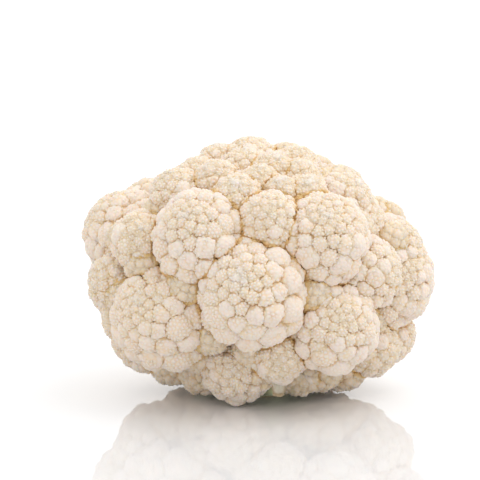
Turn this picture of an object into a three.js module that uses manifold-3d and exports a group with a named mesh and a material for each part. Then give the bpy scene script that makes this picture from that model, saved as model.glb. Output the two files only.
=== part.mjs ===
// A trimmed head of cauliflower, 18 cm across, standing on the cut face of its stalk.
// The curd is one body: some sixty florets crowd over a rounded head, and every floret is covered with
// lobes that run out from its tip in a golden-angle spiral and grow towards its rim. Under the curd are
// the cut stalk and the trimmed bases of the leaf stalks round it.
// Millimetres, +Z up. The origin is the centre of the stalk's cut face. Azimuth 0 faces -Y, 90 faces +X.

import * as THREE from 'three';
import { ConvexHull } from 'three/addons/math/ConvexHull.js';
import { mergeVertices } from 'three/addons/utils/BufferGeometryUtils.js';
import Module from 'manifold-3d';

const wasm = await Module();
wasm.setup();

const GOLDEN_ANGLE = Math.PI * (3 - Math.sqrt(5));
const UP = new THREE.Vector3(0, 0, 1);
const ASIDE = new THREE.Vector3(1, 0, 0);

// The head as a whole: the ellipsoid that the florets crowd over.
const HEAD_CENTRE = new THREE.Vector3(0, 0, 62.5);
const HEAD_HALF = new THREE.Vector3(90, 80, 64);
const CORE_SHARE = 0.84; // nothing between the florets lies deeper than this share of the ellipsoid
const SEAT_SHARE = 0.72; // a floret's centre lies this share of its radius under the ellipsoid
const TIP_LIFT = 12; // degrees that a floret's tip turns upwards from straight out

// Each floret: azimuth and latitude in degrees, radius, and how far it stands proud of the others.
const FLORETS = [
  // front
  [-2, -2, 26, 4],
  [-26, 20, 22, 3],
  [30, 19, 21.5, 3],
  [-44, -14, 24, 2],
  [34, -17, 21, 3],
  [6, 27, 14, 2],
  [-11, 39, 11, 1],
  [11, -31, 12, 1],
  [-14, -51, 16, 0],
  // left
  [-86, 17, 21, -1],
  [-53, 16, 11.5, 0],
  [-68, -1, 10.5, -2],
  [-98, -10, 14, -5],
  [-80, -20, 13, -5],
  [-76, -30, 16, -1],
  // right
  [80, -2, 26, -6],
  [58, 37, 14, -1],
  [70, -31, 13, 3],
  [84, -26, 13, 3],
  // top
  [-150, 84, 15, 0],
  [-100, 70, 11, -1],
  [62, 66, 11.5, -1],
  [17, 62, 9, 0],
  [-22, 71, 11, -2],
  [2, 50, 8, 0],
  [14, 42, 7, 0],
  [29, 40, 9, 0],
  [38, 55, 9, -2],
  [-31, 51, 9.5, 0],
  [-52, 40, 11.5, 0],
  [-68, 56, 11, -4],
  // back, in rows from the top down
  [116, 72, 11, -1],
  [190, 70, 11, -1],
  [90, 44, 12, -6],
  [124, 50, 13, -4],
  [163, 51, 13, -2],
  [200, 51, 13, -3],
  [236, 46, 13, -6],
  [104, 18, 14, -8],
  [136, 28, 19, 0],
  [176, 29, 19, 0],
  [214, 27, 20, 0],
  [247, 25, 16, -4],
  [118, -3, 24, 0],
  [156, 0, 26, 2],
  [200, -3, 25, 2],
  [240, -4, 23, 1],
  [106, -30, 17, 0],
  [138, -31, 19, 0],
  [176, -33, 19, 0],
  [216, -31, 19, 0],
  [254, -30, 17, -1],
  // lower rim
  [-70, -45, 10, 0],
  [-48, -53, 11, 0],
  [34, -51, 10, 0],
  [50, -48, 10, 0],
  [70, -45, 10.5, 3],
  [92, -48, 11, 0],
  [120, -52, 12, 0],
  [152, -52, 12, 0],
  [186, -53, 12, 0],
  [220, -52, 12, 0],
  [252, -50, 12, 0],
];

// Small florets spread evenly over the head, which show only where the large ones leave a gap.
const FILLER_COUNT = 130;
const FILLER_RADIUS = 8;
const FILLER_PROUD = -7;

// Lobes on a floret.
const LOBE_AT_TIP = 5.8;
const LOBE_GROWTH = 0.26; // growth for each millimetre of arc from the tip
const LOBE_LIMIT = 14.5;
const LOBE_PACKING = 0.8; // area that a lobe takes, over its width squared
const LOBE_REACH = 2.0; // radians from the tip
const LOBE_BURIED = 0.12; // a lobe deeper than this share of its width under another floret is left out
const LOBE_CROWDED = 0.6; // lobes closer than this share of their mean width are left out
const LOBE_RISE = 0.1; // how far a lobe's top stands over the floret's dome, over its width
const CREASE_DEPTH = 0.2; // how far the creases lie under it
const RING_AT = 0.62; // where a large lobe's ring of points lies between its top and its creases
const RING_RISE = 0.11;
const FINE_LOBE = 11.2; // lobes narrower than this have no ring

// The hollow under the head, with the socket of the stalk: half of its section, from the axis out.
const HOLLOW = [
  [0, -30],
  [40, -30],
  [38, 2],
  [35, 10],
  [30, 15],
  [25, 16.5],
  [24, 20.3],
  [0, 20.3],
];
const HOLLOW_SIDES = 40;
const HOLLOW_TOP = 16;
const HOLLOW_CLEAR = 30; // radius inside which the florets need no lobes, because the hollow removes them

// The cut stalk: half of its section, from the axis out.
const STALK = [
  [0, 0],
  [20.5, 0],
  [21.5, 0.8],
  [22, 7],
  [22.8, 12],
  [24.4, 16],
  [23.6, 20],
  [0, 20],
];
const STALK_SIDES = 40;
const STALK_RIBS = 5;
const STALK_RIB_DEPTH = 0.35;

// The trimmed bases of the leaf stalks, in a ring round the stalk: azimuth, half width in degrees at the
// stalk, and the radius where each is cut off. The first is long enough to show under the front.
const STUBS = [
  [13, 21, 48],
  [58, 22, 33],
  [108, 23, 31],
  [160, 23, 34],
  [212, 23, 32],
  [264, 23, 33],
  [315, 22, 31],
];
const STUB_ROOT = 23.2; // radius of the root, just clear of the stalk
const STUB_TAPER = 0.42; // half width at the cut, in degrees, over half width at the root, for twice the root
const STUB_LOW = 2; // height of the underside at the root
const STUB_RISE = 0.2; // slope of the underside
const STUB_THICKNESS = 8.5;
const STUB_EDGE = 0.45; // thickness at the sides, over thickness in the middle
const STUB_STEPS = 4;
const STUB_POINTS = 6; // spaces between points across a stub
const SLOT_MARGIN = 0.6; // room that the curd leaves round a stub

function direction(azimuth, latitude) {
  const a = THREE.MathUtils.degToRad(azimuth);
  const l = THREE.MathUtils.degToRad(latitude);
  return new THREE.Vector3(Math.cos(l) * Math.sin(a), -Math.cos(l) * Math.cos(a), Math.sin(l));
}

// Distance from the head's centre to its ellipsoid along a direction.
function ellipsoidReach(out) {
  return 1 / out.clone().divide(HEAD_HALF).length();
}

function makeFloret(azimuth, latitude, radius, proud) {
  const out = direction(azimuth, latitude);
  const centre = out.clone().multiplyScalar(ellipsoidReach(out) + proud - SEAT_SHARE * radius);
  const sideways = new THREE.Vector3().crossVectors(UP, out);
  const tip = out.clone().applyAxisAngle(sideways.normalize(), -THREE.MathUtils.degToRad(TIP_LIFT));
  return { centre, radius, tip };
}

function makeFillers() {
  const fillers = [];
  for (let k = 0; k < FILLER_COUNT; k++) {
    const latitude = THREE.MathUtils.radToDeg(Math.asin(1 - (2 * k + 1) / FILLER_COUNT));
    const azimuth = THREE.MathUtils.radToDeg(k * GOLDEN_ANGLE);
    fillers.push(makeFloret(azimuth, latitude, FILLER_RADIUS, FILLER_PROUD));
  }
  return fillers;
}

// The furthest point of all the florets along a ray from the head's centre.
function domeReach(florets, ray) {
  let reach = CORE_SHARE * ellipsoidReach(ray);
  for (const { centre, radius } of florets) {
    const along = ray.dot(centre);
    const square = along * along - centre.lengthSq() + radius * radius;
    if (square > 0) {
      reach = Math.max(reach, along + Math.sqrt(square));
    }
  }
  return reach;
}

// The lobes of one floret, from its tip outwards.
function spreadLobes(floret, turn) {
  const { centre, radius, tip } = floret;
  const level = Math.abs(tip.z) < 0.9 ? UP : ASIDE;
  const across = new THREE.Vector3().crossVectors(tip, level).normalize();
  const along = new THREE.Vector3().crossVectors(tip, across);
  const lobes = [];
  let area = 0;
  for (let k = 0; ; k++) {
    const cosine = 1 - area / (2 * Math.PI * radius * radius);
    const polar = Math.acos(Math.max(cosine, -1));
    if (polar > LOBE_REACH) {
      return lobes;
    }
    const width = Math.min(LOBE_AT_TIP + LOBE_GROWTH * radius * polar, LOBE_LIMIT);
    const angle = turn + k * GOLDEN_ANGLE;
    const point = tip.clone().multiplyScalar(Math.cos(polar));
    point.addScaledVector(across, Math.sin(polar) * Math.cos(angle));
    point.addScaledVector(along, Math.sin(polar) * Math.sin(angle));
    point.multiplyScalar(radius).add(centre);
    lobes.push({ point, width, ray: point.clone().normalize() });
    area += LOBE_PACKING * width * width;
  }
}

// Whether a point, from the head's centre, is well inside the mouth of the hollow, which is cut away later.
function isOverHollow(point) {
  return point.z + HEAD_CENTRE.z < HOLLOW_TOP && Math.hypot(point.x, point.y) < HOLLOW_CLEAR;
}

function keepOuterLobes(florets) {
  const kept = [];
  florets.forEach((floret, index) => {
    for (const lobe of spreadLobes(floret, index)) {
      const reach = domeReach(florets, lobe.ray);
      const buried = lobe.point.length() < reach - LOBE_BURIED * lobe.width;
      const crowded = kept.some((other) => {
        const apart = LOBE_CROWDED * (lobe.width + other.width) / 2;
        return other.point.distanceTo(lobe.point) < apart;
      });
      if (!buried && !crowded && !isOverHollow(lobe.point)) {
        kept.push(lobe);
      }
    }
  });
  return kept;
}

// The triangles between neighbouring lobes, as index triples that run anticlockwise seen from outside.
function joinLobes(lobes) {
  const rays = lobes.map(({ ray }) => ray.clone());
  const indexOf = new Map(rays.map((ray, index) => [ray, index]));
  const hull = new ConvexHull().setFromPoints(rays);
  return hull.faces.map((face) => {
    const first = face.edge;
    return [first, first.next, first.next.next].map((edge) => indexOf.get(edge.head().point));
  });
}

// The creases that ring each lobe: for each lobe, the triangles round it in order.
function ringTriangles(lobes, triangles) {
  const after = lobes.map(() => new Map());
  triangles.forEach(([a, b, c], index) => {
    after[a].set(b, { index, next: c });
    after[b].set(c, { index, next: a });
    after[c].set(a, { index, next: b });
  });
  return after.map((steps) => {
    const ring = [];
    const start = steps.keys().next().value;
    let at = start;
    do {
      const { index, next } = steps.get(at);
      ring.push(index);
      at = next;
    } while (at !== start);
    return ring;
  });
}

function creaseCorner(florets, corners) {
  const ray = new THREE.Vector3();
  for (const lobe of corners) {
    ray.addScaledVector(lobe.ray, 1 / lobe.width);
  }
  ray.normalize();
  const narrowest = Math.min(...corners.map(({ width }) => width));
  return ray.clone().multiplyScalar(domeReach(florets, ray) - CREASE_DEPTH * narrowest);
}

function curdSurface(florets) {
  const lobes = keepOuterLobes(florets);
  const triangles = joinLobes(lobes);
  const creases = triangles.map((triple) => creaseCorner(florets, triple.map((index) => lobes[index])));
  const points = [...creases];
  const faces = [];
  ringTriangles(lobes, triangles).forEach((ring, index) => {
    const { ray, width } = lobes[index];
    const topRadius = domeReach(florets, ray) + LOBE_RISE * width;
    const top = points.push(ray.clone().multiplyScalar(topRadius)) - 1;
    let inner = ring;
    if (width > FINE_LOBE) {
      inner = ring.map((corner) => {
        const between = points[top].clone().lerp(creases[corner], RING_AT);
        return points.push(between.addScaledVector(ray, RING_RISE * width)) - 1;
      });
    }
    ring.forEach((corner, k) => {
      const next = (k + 1) % ring.length;
      faces.push([top, inner[k], inner[next]]);
      if (inner !== ring) {
        faces.push([inner[k], corner, ring[next]], [inner[k], ring[next], inner[next]]);
      }
    });
  });
  const geometry = new THREE.BufferGeometry();
  const positions = points.flatMap((point) => point.clone().add(HEAD_CENTRE).toArray());
  geometry.setAttribute('position', new THREE.Float32BufferAttribute(positions, 3));
  geometry.setIndex(faces.flat());
  return geometry;
}

function latheAboutZ(section, sides) {
  const profile = section.map(([radius, height]) => new THREE.Vector2(radius, height));
  const geometry = new THREE.LatheGeometry(profile, sides);
  geometry.rotateX(Math.PI / 2);
  return geometry;
}

function toSolid(geometry) {
  const bare = geometry.clone();
  bare.deleteAttribute('normal');
  bare.deleteAttribute('uv');
  const merged = mergeVertices(bare, 1e-4);
  const vertProperties = new Float32Array(merged.attributes.position.array);
  const triVerts = new Uint32Array(merged.index.array);
  return new wasm.Manifold(new wasm.Mesh({ numProp: 3, vertProperties, triVerts }));
}

function toGeometry(solid) {
  const { vertProperties, triVerts } = solid.getMesh();
  const geometry = new THREE.BufferGeometry();
  geometry.setAttribute('position', new THREE.BufferAttribute(new Float32Array(vertProperties), 3));
  geometry.setIndex(new THREE.BufferAttribute(new Uint32Array(triVerts), 1));
  return geometry;
}

// A trimmed leaf base: a curved slab, thick in the middle, lofted from the stalk out to its cut end.
function stubGeometry([azimuth, halfWidth, cutRadius], margin) {
  const root = STUB_ROOT - margin;
  const end = cutRadius + margin;
  const points = [];
  for (let step = 0; step <= STUB_STEPS; step++) {
    const radius = root + ((end - root) * step) / STUB_STEPS;
    const taper = (STUB_ROOT / radius) ** (1 - Math.log2(STUB_TAPER));
    const halfArc = THREE.MathUtils.degToRad(halfWidth) * taper + margin / radius;
    const low = STUB_LOW + STUB_RISE * (radius - STUB_ROOT);
    const section = [];
    for (let k = 0; k <= STUB_POINTS; k++) {
      const share = (2 * k) / STUB_POINTS - 1;
      const angle = THREE.MathUtils.degToRad(azimuth) + share * halfArc;
      const half = (STUB_THICKNESS / 2) * (STUB_EDGE + (1 - STUB_EDGE) * (1 - share * share)) + margin;
      section.push({ angle, half });
    }
    const middle = low + STUB_THICKNESS / 2;
    const place = ({ angle }, height) => [radius * Math.sin(angle), -radius * Math.cos(angle), height];
    for (const point of section) {
      points.push(place(point, middle - point.half));
    }
    for (const point of section.reverse()) {
      points.push(place(point, middle + point.half));
    }
  }
  return loft(points, 2 * (STUB_POINTS + 1));
}

// Closes a stack of equal rings of points into a solid, with each end filled from its first point.
function loft(points, ringSize) {
  const rings = points.length / ringSize;
  const faces = [];
  for (let ring = 0; ring + 1 < rings; ring++) {
    for (let k = 0; k < ringSize; k++) {
      const a = ring * ringSize + k;
      const b = ring * ringSize + ((k + 1) % ringSize);
      faces.push([a, b, b + ringSize], [a, b + ringSize, a + ringSize]);
    }
  }
  const last = (rings - 1) * ringSize;
  for (let k = 0; 2 * k + 2 < ringSize; k++) {
    const [a, b, c, d] = [k, k + 1, ringSize - 2 - k, ringSize - 1 - k];
    faces.push([a, d, c], [a, c, b]);
    faces.push([last + a, last + c, last + d], [last + a, last + b, last + c]);
  }
  const geometry = new THREE.BufferGeometry();
  geometry.setAttribute('position', new THREE.Float32BufferAttribute(points.flat(), 3));
  geometry.setIndex(faces.flat());
  return geometry;
}

function makeCurd() {
  const florets = [...FLORETS.map((row) => makeFloret(...row)), ...makeFillers()];
  let solid = toSolid(curdSurface(florets));
  solid = solid.subtract(toSolid(latheAboutZ(HOLLOW, HOLLOW_SIDES)));
  for (const stub of STUBS) {
    solid = solid.subtract(toSolid(stubGeometry(stub, SLOT_MARGIN)));
  }
  return toGeometry(solid);
}

// The stalk is slightly five-sided, as the leaf bases leave it.
function makeStalk() {
  const geometry = latheAboutZ(STALK, STALK_SIDES);
  const positions = geometry.attributes.position;
  for (let i = 0; i < positions.count; i++) {
    const x = positions.getX(i);
    const y = positions.getY(i);
    const radius = Math.hypot(x, y);
    if (radius > 1) {
      const share = (radius - STALK_RIB_DEPTH * (1 + Math.cos(STALK_RIBS * Math.atan2(y, x)))) / radius;
      positions.setXY(i, x * share, y * share);
    }
  }
  return geometry;
}

const curdMaterial = new THREE.MeshStandardMaterial({ color: 0xf1e6cf, roughness: 0.62, metalness: 0 });
const stalkMaterial = new THREE.MeshStandardMaterial({ color: 0xe3e2bd, roughness: 0.5, metalness: 0 });
const stubMaterial = new THREE.MeshStandardMaterial({ color: 0xcdd6a4, roughness: 0.5, metalness: 0 });

function addPiece(group, name, geometry, material) {
  const mesh = new THREE.Mesh(geometry, material);
  mesh.name = name;
  group.add(mesh);
}

const cauliflower = new THREE.Group();
addPiece(cauliflower, 'curd', makeCurd(), curdMaterial);
addPiece(cauliflower, 'stalk', makeStalk(), stalkMaterial);
STUBS.forEach((stub, index) => {
  addPiece(cauliflower, `leaf_stub_${index + 1}`, stubGeometry(stub, 0), stubMaterial);
});

export default cauliflower;
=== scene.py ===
"""A trimmed head of cauliflower on its cut stalk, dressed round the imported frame.

The curd is made of florets, each a piece. A floret is a ball covered with lobes that run out from its
tip in a golden-angle spiral and widen towards its rim. Its wide lobes are closed shapes of their own,
which carry smaller domes by the same rule, and buds cover all of them. Lengths are worked out in
millimetres, from the head's centre for the curd, and written to the meshes in metres.
"""

import math

import bpy
import numpy as np
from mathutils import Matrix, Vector, noise
from mathutils.geometry import delaunay_2d_cdt
from mathutils.kdtree import KDTree


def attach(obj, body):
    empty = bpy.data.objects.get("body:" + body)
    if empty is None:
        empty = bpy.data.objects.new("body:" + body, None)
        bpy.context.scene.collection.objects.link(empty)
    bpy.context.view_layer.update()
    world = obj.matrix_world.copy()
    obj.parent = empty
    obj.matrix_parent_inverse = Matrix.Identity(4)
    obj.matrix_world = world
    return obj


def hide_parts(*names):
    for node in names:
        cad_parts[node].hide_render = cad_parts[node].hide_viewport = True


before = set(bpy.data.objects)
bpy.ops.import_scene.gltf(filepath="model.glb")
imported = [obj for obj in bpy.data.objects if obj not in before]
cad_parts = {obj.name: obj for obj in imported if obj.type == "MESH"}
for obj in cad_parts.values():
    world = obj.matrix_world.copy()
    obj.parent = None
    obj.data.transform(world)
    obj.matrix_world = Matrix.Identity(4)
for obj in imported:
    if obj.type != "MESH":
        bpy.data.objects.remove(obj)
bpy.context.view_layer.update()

MM = 0.001
GOLDEN_ANGLE = math.pi * (3 - math.sqrt(5))
UP = np.array([0.0, 0.0, 1.0])
ASIDE = np.array([1.0, 0.0, 0.0])

# ---------------------------------------------------------------- camera

CAMERA_DISTANCE = 850
CAMERA_ELEVATION = math.radians(7)
CAMERA_LENS = 125
CAMERA_AIM = np.array([-8.2, 0, 77.6])


def make_camera():
    data = bpy.data.cameras.new("camera")
    data.lens = CAMERA_LENS
    data.sensor_width = 36
    data.clip_end = 20
    camera = bpy.data.objects.new("camera", data)
    bpy.context.scene.collection.objects.link(camera)
    back = Vector((0, -math.cos(CAMERA_ELEVATION), math.sin(CAMERA_ELEVATION)))
    camera.location = Vector(CAMERA_AIM * MM) + back * CAMERA_DISTANCE * MM
    camera.rotation_euler = (-back).to_track_quat("-Z", "Y").to_euler()
    bpy.context.scene.camera = camera


make_camera()

# ---------------------------------------------------------------- the head and its florets

HEAD_CENTRE = np.array([0, 0, 62.5])
HEAD_HALF = np.array([90.0, 80.0, 64.0])
RISE_SHARE = 0.28  # a floret rises this share of its radius over the head's ellipsoid
SWELL = 3.0  # florets press together, so their radii are this much larger than given
STEM_FORK = np.array([0, 0, -36.0])  # where the florets' stems fan out, from the head's centre

# Azimuth and latitude in degrees, radius, and how far each floret stands proud.
FLORETS = {
    "front": [
        (-2, -2, 24.5, 4), (-26, 20, 22, 3), (30, 19, 21.5, 3), (-44, -14, 24, 2), (34, -17, 21, 3),
        (6, 27, 14, 2), (-11, 39, 11, 1), (11, -31, 12, 1), (-13, -47, 16.5, 2),
    ],
    "left": [
        (-86, 16, 20, -2), (-53, 16, 11.5, 0), (-68, -1, 10.5, -2), (-98, -10, 14, -5),
        (-80, -20, 13, -5), (-76, -30, 16, -1),
    ],
    "right": [(80, -2, 26, -6), (58, 36, 13.5, -2.5), (70, -31, 13, 3), (84, -26, 13, 3)],
    "top": [
        (-150, 84, 15, 0), (-100, 70, 11, -1), (62, 66, 11.5, -1), (17, 62, 9, 0), (-22, 71, 11, -2),
        (2, 50, 8, 0), (14, 42, 7, 0), (29, 40, 9, 0), (38, 55, 9, -2), (-31, 51, 9.5, 0),
        (-52, 40, 11.5, 0), (-68, 56, 11, -4),
    ],
    "back": [
        (116, 72, 11, -1), (190, 70, 11, -1), (90, 44, 12, -6), (124, 50, 13, -4), (163, 51, 13, -2),
        (200, 51, 13, -3), (236, 46, 13, -6), (104, 18, 14, -8), (136, 28, 19, 0), (176, 29, 19, 0),
        (214, 27, 20, 0), (247, 25, 16, -4), (118, -3, 24, 0), (156, 0, 26, 2), (200, -3, 25, 2),
        (240, -4, 23, 1), (106, -30, 17, 0), (138, -31, 19, 0), (176, -33, 19, 0), (216, -31, 19, 0),
        (254, -30, 17, -1),
    ],
    "rim": [
        (-70, -45, 10, 0), (-48, -53, 11, 0), (34, -51, 10, 0), (50, -48, 10, 0), (70, -45, 10.5, 3),
        (92, -48, 11, 0), (120, -52, 12, 0), (152, -52, 12, 0), (186, -53, 12, 0), (220, -52, 12, 0),
        (252, -50, 12, 0),
    ],
    "between": [(76, 8, 18, -6), (51, 4, 17, -5), (64, 24, 11, -9), (4, -46, 6, -1)],
}

# Azimuth and latitude in which the tips of some florets point. The rest point away from the fork.
TIPS = {
    "floret_front_1": (-14, 23), "floret_front_2": (-23, 37), "floret_front_3": (10, 36),
    "floret_front_4": (-34, 20), "floret_front_5": (10, 15), "floret_front_6": (0, 32),
    "floret_front_8": (5, -10), "floret_front_9": (-6, 6), "floret_right_1": (28, 16),
    "floret_left_2": (-10, 30), "floret_between_2": (75, 5),
}

# Small florets spread evenly over the head, which show only where the large ones leave a gap.
FILLER_COUNT = 120
FILLER_RADIUS = 8
FILLER_PROUD = -5
FILLER_CLEAR = -0.5  # a filler is left out where its top would lie deeper than this in a large floret
FILLER_NESTLE = 2.2  # it sinks until its top is this near to one
FILLER_SINK = 14.0  # but no further than this
FILLER_STEP = 0.5
FILLER_SEED = 1000

SPIRAL_SAMPLES = 120
PACKING = 0.84  # area that a lobe or bud takes, over its width squared
DOME_WIDTHS = (3.0, 7.0)
DOME_SHARES = (1.05, 0.62)  # radius of a lobe's own dome, over its width, at those widths
VARIES = 0.2  # how far lobes and buds differ from the spiral's width
SHIFT = 0.09  # how far they stray from the spiral, over their width
PROUD = (-0.04, 0.1)  # how far lobes stand out, over their width
GROUND_DEPTH = 0.24  # how far the creases between lobes go down, over the lobes' width
BUD = 2.0  # width of the smallest buds
WIDE_BUD = 2.25  # their width on these regions
WIDE_BUDDED = ("back", "rim")
FILLER_BUD = 2.5  # and on the small florets in the gaps
BUD_LIMIT = 2.7  # anything wider is a lobe with buds of its own
OWN_LOBE = 3.6  # a lobe of a floret that is wider than this is a closed shape of its own
FLORET_LEAST = 3.0  # width of the lobes at a floret's tip
FLORET_GROWTH = 0.36  # gain in width of a floret's lobes, over their distance from its tip
FLORET_LIMIT = 0.5  # width of its largest lobes, over its radius
LOBE_GROWTH = 0.3  # the most that buds widen on a lobe, over their distance from its tip
FLORET_REACH = math.radians(116)  # how far from a floret's tip things grow on it
LOBE_REACH = math.radians(100)
SMALL_REACH = math.radians(80)  # the same on a dome that is part of a floret or lobe
SMALL_GROWTH = 0.1
BUD_POLARS = (0.0, 1.2)
BUD_SIZES = (0.88, 1.16)  # width of the buds on lobes at those angles from a floret's tip, over its own
RINGED = 0.86  # buds wider than this, over the smallest, have a ring of points round their top
WIDE_RINGED = 1.2  # the same where buds are wide
FILLER_RINGED = 1.5  # and on the small florets in the gaps
CROWDED = 0.55  # a bud nearer than this to a wider one, over that one's width, is dropped
BUD_UNDER = 0.3  # a bud may lie this far under a neighbouring dome, over its width
BUD_RISE = 0.1  # height of a bud's top, over its width
BUD_CREASE = 0.09  # depth of the creases round it
LOBE_RELIEF = 0.8  # relief of the buds on lobes, over that of the buds at a floret's tip
RING_AT = 0.6  # where the ring lies, from the bud's top to its creases
RING_RISE = 0.1  # how far the ring is raised, over the bud's width
FLORET_COARSE = (3.6, 9.0)  # spacing of points beside the buds and further on, on a hidden side
LOBE_COARSE = (3.4, 6.0)
COARSE_SINK = 0.04  # how far the hidden side lies under the ground between lobes, over the radius
COARSE_START = 0.6  # where the coarse points start beyond the last bud, over their spacing
COARSE_SPAN = 0.75  # and where the wider ones take over, over theirs
COARSE_CLEAR = 0.3  # what is left free between the two
POLE_COSINE = -0.95  # no coarse point lies nearer than this to the point opposite the tip
FEWEST_RAYS = 9
HIDDEN_DEPTH = 0.6  # what lies deeper than this in a neighbour is left coarse
HIDDEN_CREASE = 0.5  # width that sets the depth of the creases there
FAR = 99.0  # more than any distance that matters
BURIED = 0.78  # a lobe is left out where its top is nearer than this to another's centre, over that radius
OCCLUDES = 0.86  # share of a floret's radius that surely hides what lies within it
NEIGHBOURS = 9  # florets nearer than this may press each other's lobes
BESIDE = 6  # and nearer than this, they may hide each other and paint shade on each other
LEAN = 0.15  # angle by which a lobe's own tip leans towards the floret's
LOBE_LIMIT = 0.5  # width of the largest things on a lobe, over its radius
DOME_TURN = 7  # radians by which the buds on a dome are turned, for each millimetre of its width

PRESS_REACH = 10.0  # rim lobes this near to another floret swell towards it
RIM_COSINE = math.cos(math.radians(42))  # and only those that point this far from the floret's tip
PRESS = 0.5  # how far they go, over the free distance to it
PRESS_SWELL = 0.3  # share of that which widens them
PRESS_SHIFT = 0.6  # and share which moves them

PIT = 0.4  # depth at which a crease between lobes has its full painted shade, over their width
CREASE_BAND = 0.6  # distance from a neighbouring lobe over which a crease's painted shade fades
GAP_BAND = 2.6  # the same for the gaps between florets
RAISED = 3.0  # a place is in a gap only if a point this far outside it is still close to a neighbour
SUNK_BAND = 1.2  # how much closer than that it has to be for the full painted shade
RING_SHADE = 0.35  # place of a bud's ring between its top, 0, and its creases, 1


def unit(vectors):
    return vectors / np.linalg.norm(vectors, axis=-1, keepdims=True)


def direction(azimuth, latitude):
    turn, rise = math.radians(azimuth), math.radians(latitude)
    return np.array([math.cos(rise) * math.sin(turn), -math.cos(rise) * math.cos(turn), math.sin(rise)])


def basis(axis):
    """Two directions at right angles to axis, the second pointing down it as far as it can."""
    level = UP if abs(axis[2]) < 0.9 else ASIDE
    across = unit(np.cross(axis, level))
    return across, np.cross(axis, across)


def lean(axis, towards, angle):
    """axis turned by an angle towards another direction."""
    side = towards - axis * (towards @ axis)
    length = np.linalg.norm(side)
    if length < 1e-6:
        return axis
    return axis * math.cos(angle) + side / length * math.sin(angle)


def make_shape(centre, radius, tip, least, growth, limit, bud, ringed):
    """A ball that carries buds and lobes, which widen from least at its tip to a limit."""
    return {
        "centre": centre, "radius": radius, "tip": tip,
        "least": least, "growth": growth, "limit": limit, "bud": bud, "ringed": ringed,
    }


def place_floret(azimuth, latitude, radius, proud, tip, bud, ringed):
    out = direction(azimuth, latitude)
    top = 1 / np.linalg.norm(out / HEAD_HALF) + proud + RISE_SHARE * radius
    radius = radius + SWELL
    centre = out * (top - radius)
    tip = direction(*tip) if tip else unit(centre - STEM_FORK)
    limit = FLORET_LIMIT * radius
    return make_shape(centre, radius, tip, FLORET_LEAST, FLORET_GROWTH, limit, bud, ringed * bud)


def place_fillers(balls):
    """Small florets in the gaps between the balls of the large ones, sunk until they nestle among them."""
    number = np.arange(FILLER_COUNT)
    latitude = np.degrees(np.arcsin(1 - (2 * number + 1) / FILLER_COUNT))
    azimuth = np.degrees(number * GOLDEN_ANGLE)
    fillers = []
    for turn, rise in zip(azimuth, latitude):
        floret = place_floret(turn, rise, FILLER_RADIUS, FILLER_PROUD, None, FILLER_BUD, FILLER_RINGED)
        out = unit(floret["centre"])
        top = floret["centre"] + out * floret["radius"]
        sinks = np.arange(0, FILLER_SINK, FILLER_STEP)
        free = clearance(top - np.outer(sinks, out), balls_near(floret, balls, FILLER_SINK))
        if free[0] < FILLER_CLEAR:
            continue
        nestled = np.flatnonzero(free < FILLER_NESTLE)
        floret["centre"] = floret["centre"] - out * sinks[nestled[0] if len(nestled) else -1]
        fillers.append(floret)
    return fillers


def width_at(shape, polar):
    """Width of the lobe or bud that grows at a polar angle from a shape's tip."""
    return np.minimum(shape["least"] + shape["growth"] * shape["radius"] * polar, shape["limit"])


def spiral(shape, reach):
    """A golden-angle spiral from a shape's tip: polar angle, turn and width of each thing on it."""
    polar = np.linspace(0, reach, SPIRAL_SAMPLES)
    density = 2 * math.pi * shape["radius"]**2 * np.sin(polar) / (PACKING * width_at(shape, polar)**2)
    steps = (density[1:] + density[:-1]) / 2 * np.diff(polar)
    count = np.concatenate([[0], np.cumsum(steps)])
    number = np.arange(int(count[-1]))
    at = np.interp(number + 0.5, count, polar)
    return at, number * GOLDEN_ANGLE, width_at(shape, at)


def spread(axis, polar, turn):
    """Directions at the polar angles and turns round an axis."""
    across, along = basis(axis)
    sine = np.sin(polar)
    return (
        np.outer(np.cos(polar), axis)
        + np.outer(sine * np.cos(turn), across)
        + np.outer(sine * np.sin(turn), along)
    )


def grow(shape, reach, random):
    """What a shape carries: buds and domes from its own centre, and lobes, which are shapes themselves."""
    radius, tip = shape["radius"], shape["tip"]
    polar, turn, width = spiral(shape, reach)
    count = len(polar)
    width = width * random.uniform(1 - VARIES, 1 + VARIES, count)
    polar = np.abs(polar + random.normal(0, SHIFT, count) * width / radius)
    turn = turn + random.uniform(0, 2 * math.pi)
    turn = turn + random.normal(0, SHIFT, count) * width / (radius * np.sin(polar) + width)
    rays = spread(tip, polar, turn)
    heights = radius + random.uniform(*PROUD, count) * width
    growths = LOBE_GROWTH * random.uniform(0, 1, count)**2
    sizes = shape["bud"] * np.interp(polar, BUD_POLARS, BUD_SIZES)
    is_bud = width < BUD_LIMIT
    buds, domes, lobes = [(rays[is_bud] * radius, width[is_bud])], [], []
    for index in np.flatnonzero(~is_bud):
        ray, wide, bud = rays[index], width[index], sizes[index]
        dome = wide * np.interp(wide, DOME_WIDTHS, DOME_SHARES)
        centre = ray * (heights[index] - dome)
        if wide > OWN_LOBE:
            place, towards = shape["centre"] + centre, lean(ray, tip, LEAN)
            limit = min(LOBE_LIMIT * dome, OWN_LOBE)
            lobe = make_shape(place, dome, towards, bud, growths[index], limit, shape["bud"], shape["ringed"])
            lobes.append(lobe)
            continue
        domes.append((centre, dome))
        small = make_shape(centre, dome, ray, bud, SMALL_GROWTH, BUD_LIMIT, shape["bud"], shape["ringed"])
        polar, turn, widths = spiral(small, SMALL_REACH)
        buds.append((centre + spread(ray, polar, turn + DOME_TURN * wide) * dome, widths))
    points = np.concatenate([group for group, _ in buds])
    widths = np.concatenate([group for _, group in buds])
    return points, widths, domes, lobes


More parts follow.
